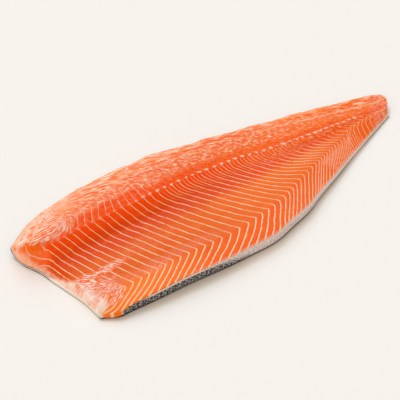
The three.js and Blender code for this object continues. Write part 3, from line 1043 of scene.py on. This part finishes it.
# Patterns of noise. Each lies over two of a mesh's attributes, with so many cycles per unit of each,
# and has its place in depth, its detail, its roughness and its distortion.
PATTERNS = {
    "mottle": ("along", 0.06, "run", 0.08, 0, 3, 0.5, 0),
    "fibres": ("septum", 1.3, "run", 0.75, 0, 3, 0.5, 0),
    "blobs": ("along", 0.2, "run", 0.28, 3, 2, 0.5, 0.8),
    "broad": ("septum", 1.2, "run", 0.07, 0, 2, 0.55, 0.3),
    "fine": ("septum", 3.2, "run", 0.2, 7, 2, 0.55, 0.5),
    "streak": ("along", 0.05, "level", 0.25, 4, 2, 0.6, 0.3),
    "speck": ("along", 0.16, "level", 0.27, 5, 3, 0.65, 0.2),
    "crease": ("along", 0.05, "level", 0.19, 13, 1, 0.4, 0.3),
    "uneven": ("along", 0.16, "run", 0.16, 0, 2, 0.5, 0),
    "bent": ("rings", 2.6, "along", 0.09, 9, 2, 0.5, 0.3),
    "broken": ("along", 0.12, "run", 0.12, 9, 2, 0.5, 0),
    "crook": ("along", 0.15, "run", 0.15, 5, 1, 0.5, 0),
    "fleck": ("along", 0.15, "fibre", 0.55, 0, 3, 0.65, 0.3),
    "skin mottle": ("along", 0.25, "from_belly", 0.4, 0, 3, 0.5, 0),
}
# Strokes: the detail's colour, the pattern's values at which they begin and are whole, their
# strength, and the marks that they keep to.
MOTTLING = (
    ("shade", "mottle", 0.5, 0.28, 0.18),
    ("glow", "mottle", 0.52, 0.72, 0.25),
    ("shade", "fibres", 0.52, 0.72, 0.22),
    ("pale", "blobs", 0.5, 0.66, 0.4, "mottled"),
    ("stroke", "blobs", 0.5, 0.38, 0.8, "mottled"),
)
DORSAL_STROKES = (
    ("stroke", "dorsal", 0.5, 0.42, 0.7, "strokes"),
    ("pale", "dorsal", 0.51, 0.58, 0.95, "strokes", "pale"),
    ("stroke", "streak", 0.5, 0.4, 0.75, "streaks"),
    ("pale", "streak", 0.51, 0.58, 0.9, "streaks"),
    ("crease", "speck", 0.5, 0.4, 0.6, "specks"),
    # The blush and white specks are painted sheen and glints on the loin's wet face.
    ("blush", "speck", 0.5, 0.57, 0.85, "specks"),
    ("white", "speck", 0.58, 0.66, 0.7, "specks"),
    ("crease", "crease", 0.45, 0.38, 0.95, "creases"),
)
# The rings' white strokes are partly septa and partly painted highlight.
RING_STROKES = (
    ("orange", "bent", 0.51, 0.4, 0.85, "arcs"),
    ("white", "bent", 0.52, 0.64, 0.7, "arcs"),
)
# Flecks: dark orange, and white that is partly torn membrane and partly painted glints.
TORN_STROKES = (
    ("stroke", "fleck", 0.51, 0.44, 0.9, "flecks"),
    ("white", "fleck", 0.505, 0.555, 1, "flecks"),
)
BROAD_SHARE = 0.35  # of the broad pattern in the dorsal strokes. The fine one has the rest.
LINE_WIDTH = (0.25, 0.5, 0.3)  # half of it, in mm: the least, and what unevenness and the edge add
LINE_BLUR = 0.45
NEAR_BELLY_EDGE = (62, 100)  # mm round from the midline
RING_WIDTH = (1, 0.3)
WALL_WIDTH = (0.85, 0.25)
WALL_CROOK = 0.4  # septa
SEAM_WIDTH = (1.7, 0.6)
KNOT_REACH = (2.5, 1.5)  # half the knots' length and width, in mm
KNOT_WANDER = 4.0
KNOT_RAGGEDNESS = 3.5
KNOT_SOFTNESS = (1.4, 0.6)  # where a knot begins and is whole, in its reaches
WET_FLESH = {
    "Specular_IOR_Level": 0.1,
    "Specular_Tint": (1.0, 0.8, 0.5, 1),
    "Subsurface_Weight": 0.1,
    "Subsurface_Radius": (1.0, 0.35, 0.2),
    "Subsurface_Scale": 0.002,
}


def paint_lines(paint):
    """The septa, as lines of a true width in mm that waver in width and strength."""
    septum, pitch, uneven = paint["septum"], paint["pitch"], paint["uneven"]
    least, by_unevenness, by_edge = LINE_WIDTH
    near_edge = paint.rise(paint["run"], *NEAR_BELLY_EDGE)
    half_width = paint.plus(least, paint.times(uneven, by_unevenness), paint.times(near_edge, by_edge))

    def line(number, strength):
        off = paint.to_whole(number, pitch)
        drawn = paint.rise(off, paint.plus(half_width, LINE_BLUR), paint.times(half_width, 0.5))
        return paint.times(drawn, strength, paint.rise(uneven, 0.12, 0.5))

    between = line(paint.plus(septum, 0.5), paint.times(paint["between"], 0.8))
    # In the hollow the lines take the dim colour, which is painted shade.
    line_colour = paint.mix(DETAIL["line"], DETAIL["dim"], paint["dim"])
    paint.lay(line_colour, paint.most(line(septum, paint["lines"]), between))


def paint_rings(paint):
    """Rings at the head's end, broken up into strokes that bend with them. Their white is partly the septa's
    fat and partly painted highlight.
    """
    paint.strokes(RING_STROKES)
    broken = paint.rise(paint["broken"], 0.36, 0.56)
    ring = paint.rise(paint.to_whole(paint["rings"], RINGS_APART), *RING_WIDTH, 0.75)
    paint.lay(DETAIL["white"], paint["arcs"], broken, ring)


def paint_walls(paint):
    """Crooked septa beside the midline, which run on across the blocks, and the seam over the fin rays."""
    crook = paint.plus(paint.times(paint["crook"], WALL_CROOK), -WALL_CROOK / 2)
    off_wall = paint.to_whole(paint.plus(paint["septum"], crook), paint["pitch"])
    walls = paint.times(paint.rise(off_wall, *WALL_WIDTH), paint.rise(paint["uneven"], 0.3, 0.5))
    paint.lay(DETAIL["wall"], walls, paint["cells"], 0.65)
    seam = paint.rise(paint["seam"], *SEAM_WIDTH, 0.75)
    paint.lay(DETAIL["line"], seam, paint.rise(paint["uneven"], 0.3, 0.55))


def paint_knots(paint):
    """The ragged knots of fat where the septa meet the midline."""
    wander = paint.times(paint.plus(paint["uneven"], -0.5), KNOT_WANDER)
    along = paint.times(paint.to_whole(paint["septum"], paint["pitch"]), 1 / KNOT_REACH[0])
    across = paint.times(paint.plus(paint["run"], wander), 1 / KNOT_REACH[1])
    raggedness = paint.times(paint.plus(paint["speck"], -0.5), KNOT_RAGGEDNESS)
    square = paint.plus(paint.times(along, along), paint.times(across, across))
    off_knot = paint.plus(paint.maths("SQRT", square), raggedness)
    paint.lay(DETAIL["knot"], paint.rise(off_knot, *KNOT_SOFTNESS, 0.9), paint["knots"])


def flesh_material():
    paint = Paint("salmon_flesh", **WET_FLESH)
    paint.colour = paint.attribute("tint", "Color")
    broad, fine = paint.times(paint["broad"], BROAD_SHARE), paint.times(paint["fine"], 1 - BROAD_SHARE)
    paint.made["dorsal"] = paint.plus(broad, fine)
    paint.strokes(MOTTLING)
    paint.strokes(DORSAL_STROKES)
    paint_lines(paint)
    paint_rings(paint)
    paint_walls(paint)
    paint.strokes(TORN_STROKES)
    paint.lay(DETAIL["white"], paint["slits"])
    paint_knots(paint)

    dorsal_height = paint.times(paint["dorsal"], paint["strokes"])
    streaks_height = paint.times(paint["streak"], paint["streaks"])
    height = paint.plus(paint.times(paint["fleck"], 0.5), dorsal_height, streaks_height)
    paint.bumps(height, 0.5, 0.8)
    return paint.finish(paint["fibres"])


SKIN_COLOURS = {
    "dark": srgb(16, 15, 15),
    "dark_edge": srgb(190, 190, 190),
    "silver": srgb(208, 194, 196),
    "silver_edge": srgb(246, 238, 238),
    "back": srgb(58, 66, 72),
    "rim": srgb(234, 218, 213),
    # foot: near black, the painted shade along the skin's lower edge and the dark lower part of its edge at
    # the head cut
    "foot": srgb(26, 26, 28),
    "inside": srgb(226, 222, 220),
    "cut": srgb(240, 224, 212),
}
# Where the skin changes: the attributes' values at which the change begins and is whole.
SKIN_PLACES = {
    "dark along the belly": {"from_belly": (40, 24)},
    "belly": {"from_back": (90, 125)},
    "back": {"from_back": (95, 60)},
    "spotted": {"from_back": (85, 70)},
    # foot: the skin's lowest few mm on the belly side, darkened as painted shade where it meets the floor
    "foot": {"height": (4.2, 2.0), "from_belly": (32, 17), "along": (520, 430)},
    "belly's rim": {"from_belly": (2.4, 1.4), "along": (50, 80)},
    "back's rim": {"from_back": (3.5, 2.0)},
    "inner face": {"inside": (0.75, 0.95)},
    "head's edge": {"from_head": (1.6, 1.0), "from_back": (10, 18)},
    "dark head's edge": {"from_back": (88, 76)},
}
SILVER_FROM = (235, 290)  # x, which the two below add to
SILVER_BY_HEIGHT = 4.0
SILVER_BY_MOTTLE = 60.0
LATERAL_LINE = 98.0  # mm round from the back's rim
LATERAL_LINE_WIDTH = (1.3, 0.6)
DARK_OF_EDGE = (0.28, 0.45)  # how far up the head's edge is dark: everywhere, and more towards the back
SCALE_LENGTH = 7.0
SCALE_WIDTH = 4.6
SCALE_UNEVENNESS = 0.45
# The side of each scale whose border is pale, a painted highlight
SCALE_BORDER = (0.36, 0.12)  # in scales
SCALE_REAR = (-0.25, 0.3)
SPOTS_APART = (26, 20)
SPOT_SIZE = (0.16, 0.1)  # in their spacing


def paint_scales(paint, light):
    """A lattice of cells that stands on its corner, each with a pale rear edge: partly the scales' borders
    and partly a painted highlight on that side. Returns its borders.
    """
    along = paint.times(paint["along"], 1 / SCALE_LENGTH)
    a = paint.plus(along, paint.times(paint["from_belly"], 1 / SCALE_WIDTH))
    b = paint.plus(along, paint.times(paint["from_belly"], -1 / SCALE_WIDTH))
    place = paint.grid(a, 1, b, 1)
    scales = {"Vector": place, "Scale": 1.0, "Randomness": SCALE_UNEVENNESS}
    to_border = paint.node("ShaderNodeTexVoronoi", scales, feature="DISTANCE_TO_EDGE")
    middle = paint.node("ShaderNodeTexVoronoi", scales, "Position")
    from_middle = paint.node("ShaderNodeVectorMath", {0: place, 1: middle}, operation="SUBTRACT")
    dot = {0: from_middle, 1: (1, 1, 0)}
    rearward = paint.node("ShaderNodeVectorMath", dot, "Value", operation="DOT_PRODUCT")
    edge = paint.times(paint.rise(to_border, *SCALE_BORDER), paint.rise(rearward, *SCALE_REAR))
    edges = paint.mix(SKIN_COLOURS["dark_edge"], SKIN_COLOURS["silver_edge"], light)
    over_back = paint.rise(paint["from_back"], *SKIN_PLACES["back"]["from_back"], 0.7)
    edges = paint.mix(edges, SKIN_COLOURS["back"], over_back)
    paint.lay(edges, edge, paint.rise(paint["skin mottle"], 0.28, 0.55))
    return to_border


def skin_material():
    paint = Paint("salmon_skin", Specular_IOR_Level=0.2)

    def band(name):
        edges = SKIN_PLACES[name].items()
        return paint.times(*(paint.rise(paint[key], low, high) for key, (low, high) in edges))

    # Dark over the back and along the belly's head half, and silver from there on and underneath.
    lifted = paint.times(paint["height"], SILVER_BY_HEIGHT)
    silver_at = paint.plus(paint["along"], lifted, paint.times(paint["skin mottle"], SILVER_BY_MOTTLE))
    silver = paint.rise(silver_at, *SILVER_FROM)
    flat_belly = paint.maths("SUBTRACT", 1.0, band("dark along the belly"))
    light = paint.times(band("belly"), paint.most(flat_belly, silver))
    paint.colour = paint.mix(SKIN_COLOURS["dark"], SKIN_COLOURS["silver"], light)
    to_border = paint_scales(paint, light)

    # The lateral line, and spots over the back.
    off_line = paint.maths("ABSOLUTE", paint.plus(paint["from_back"], -LATERAL_LINE))
    paint.lay(SKIN_COLOURS["dark"], paint.rise(off_line, *LATERAL_LINE_WIDTH, 0.5))
    spot_place = paint.grid(paint["along"], 1 / SPOTS_APART[0], paint["from_back"], 1 / SPOTS_APART[1])
    from_spot = paint.node("ShaderNodeTexVoronoi", {"Vector": spot_place, "Scale": 1.0})
    paint.lay(SKIN_COLOURS["dark"], paint.rise(from_spot, *SPOT_SIZE), band("spotted"), 0.8)

    # Its lower edge is darkened with painted shade, its rims are pale, and its edge at the head cut is dark
    # below.
    paint.lay(SKIN_COLOURS["foot"], band("foot"), 0.9)
    paint.lay(SKIN_COLOURS["rim"], paint.most(band("belly's rim"), band("back's rim")))
    paint.lay(SKIN_COLOURS["inside"], band("inner face"))
    cut_edge = band("head's edge")
    paint.lay(SKIN_COLOURS["cut"], cut_edge)
    dark_to = paint.plus(DARK_OF_EDGE[0], paint.times(band("dark head's edge"), DARK_OF_EDGE[1]))
    paint.lay(SKIN_COLOURS["foot"], cut_edge, paint.maths("LESS_THAN", paint["inside"], dark_to))

    paint.bumps(to_border, 0.6, 0.6)
    return paint.finish(paint["skin mottle"])


# ---- stage


FLOOR_LOOKS = {"Base_Color": srgb(243, 240, 237), "Roughness": 0.9, "Specular_IOR_Level": 0.1}
FLOOR_HALF = 4.0  # m
FLOOR_BELOW = 0.0003  # m under the fillet, so that their faces don't mix
WORLD_COLOUR = (1.0, 0.82, 0.64, 1)
WORLD_STRENGTH = 0.63
COOL, WARM = (0.94, 1.21, 1.44), (1.0, 0.95, 0.88)
# Name, how wide it is in degrees, strength, where it stands and colour.
LAMPS = (
    ("softbox", 56, 1.36, (0.4, 0.95, 1.15), COOL),
    ("lamp", 9, 0.2, (0.2, 0.9, 1.35), COOL),
    ("fill", 50, 0.85, (-1.0, -0.25, 0.22), WARM),
)


def build_floor():
    corners = ((-1, -1), (1, -1), (1, 1), (-1, 1))
    mesh = bpy.data.meshes.new("floor")
    points = [(x * FLOOR_HALF, y * FLOOR_HALF, -FLOOR_BELOW) for x, y in corners]
    mesh.from_pydata(points, [], [(0, 1, 2, 3)])
    mesh.materials.append(Paint("floor", **FLOOR_LOOKS).material)
    floor = bpy.data.objects.new("floor", mesh)
    bpy.context.collection.objects.link(floor)


def aim(thing, place, target):
    thing.location = place
    thing.rotation_euler = (Vector(place) - Vector(target)).to_track_quat("Z", "Y").to_euler()


def build_camera():
    target = Vector(to_frame(np.array((*CAMERA_TARGET, 0.0))))
    back = Vector((
        math.sin(CAMERA_AZIMUTH) * math.cos(CAMERA_ELEVATION),
        -math.cos(CAMERA_AZIMUTH) * math.cos(CAMERA_ELEVATION),
        math.sin(CAMERA_ELEVATION),
    ))
    camera = bpy.data.objects.new("camera", bpy.data.cameras.new("camera"))
    camera.data.lens = CAMERA_LENS
    camera.data.sensor_width = CAMERA_SENSOR
    camera.data.clip_start = CAMERA_NEAR
    aim(camera, target + back * CAMERA_DISTANCE, target)
    bpy.context.collection.objects.link(camera)
    bpy.context.scene.camera = camera


def build_light():
    world = bpy.data.worlds.new("studio")
    world.use_nodes = True
    background = world.node_tree.nodes["Background"]
    background.inputs["Color"].default_value = WORLD_COLOUR
    background.inputs["Strength"].default_value = WORLD_STRENGTH
    bpy.context.scene.world = world
    for name, width, strength, place, colour in LAMPS:
        light = bpy.data.lights.new(name, "SUN")
        light.angle = math.radians(width)
        light.energy = strength
        light.color = colour
        lamp = bpy.data.objects.new(name, light)
        aim(lamp, place, (0, 0, 0))
        bpy.context.collection.objects.link(lamp)


# ---- the scene

build_camera()
build_light()
build_floor()

flesh = build_flesh(flesh_material())
skin = build_skin(skin_material())
for piece, node in ((flesh, "flesh"), (skin, "skin")):
    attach(piece, "root")
    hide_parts(node)

bpy.context.scene.view_settings.view_transform = "Standard"
